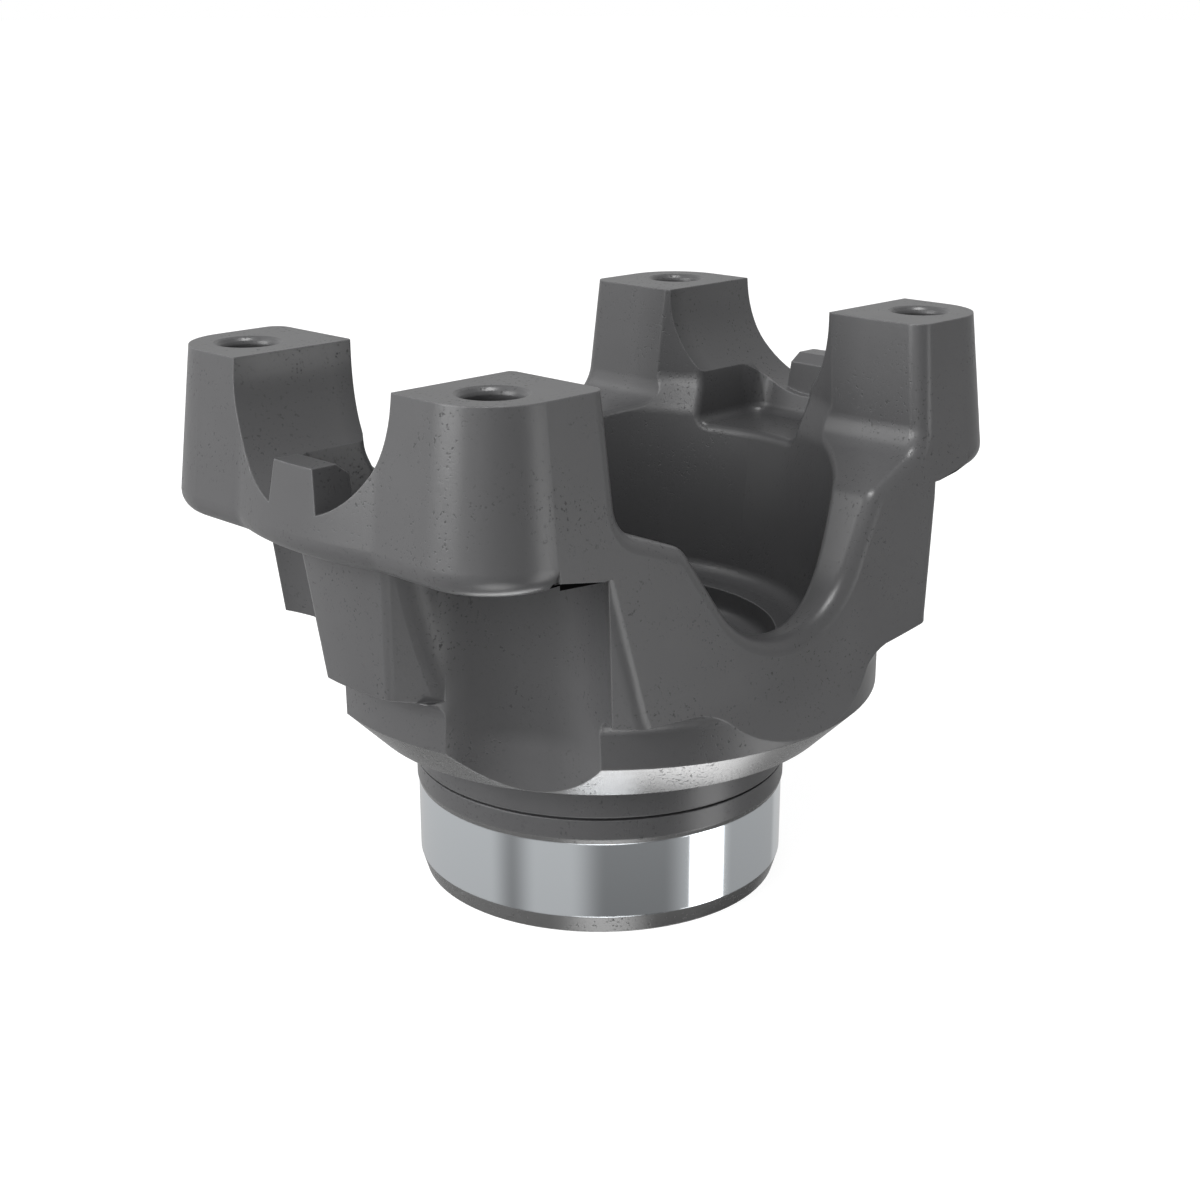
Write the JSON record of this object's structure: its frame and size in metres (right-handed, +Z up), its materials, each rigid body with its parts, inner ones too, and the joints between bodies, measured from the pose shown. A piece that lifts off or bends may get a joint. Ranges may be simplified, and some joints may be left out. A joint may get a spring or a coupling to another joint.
{
  "type": "forged yoke",
  "caption": "Forged end yoke of a drive shaft joint: two arms with half-round bearing saddles and tapped ears over a flanged hub with a ground seal journal.",
  "frame": {"origin": "centre of the hub's end face, on the hub axis", "axes": "+Z up along the hub axis towards the arms, +X along the axis of the bearing saddles, +Y across the valleys between the arms"},
  "size_m": [0.1704, 0.1264, 0.126],
  "materials": {
    "forging": "dark grey as-forged steel, satin, fine sparse pits; ground bright seal journal and turned bright cone under the flange"
  },
  "bodies": {
    "root": {"yoke": "forging"}
  },
  "joints": []
}
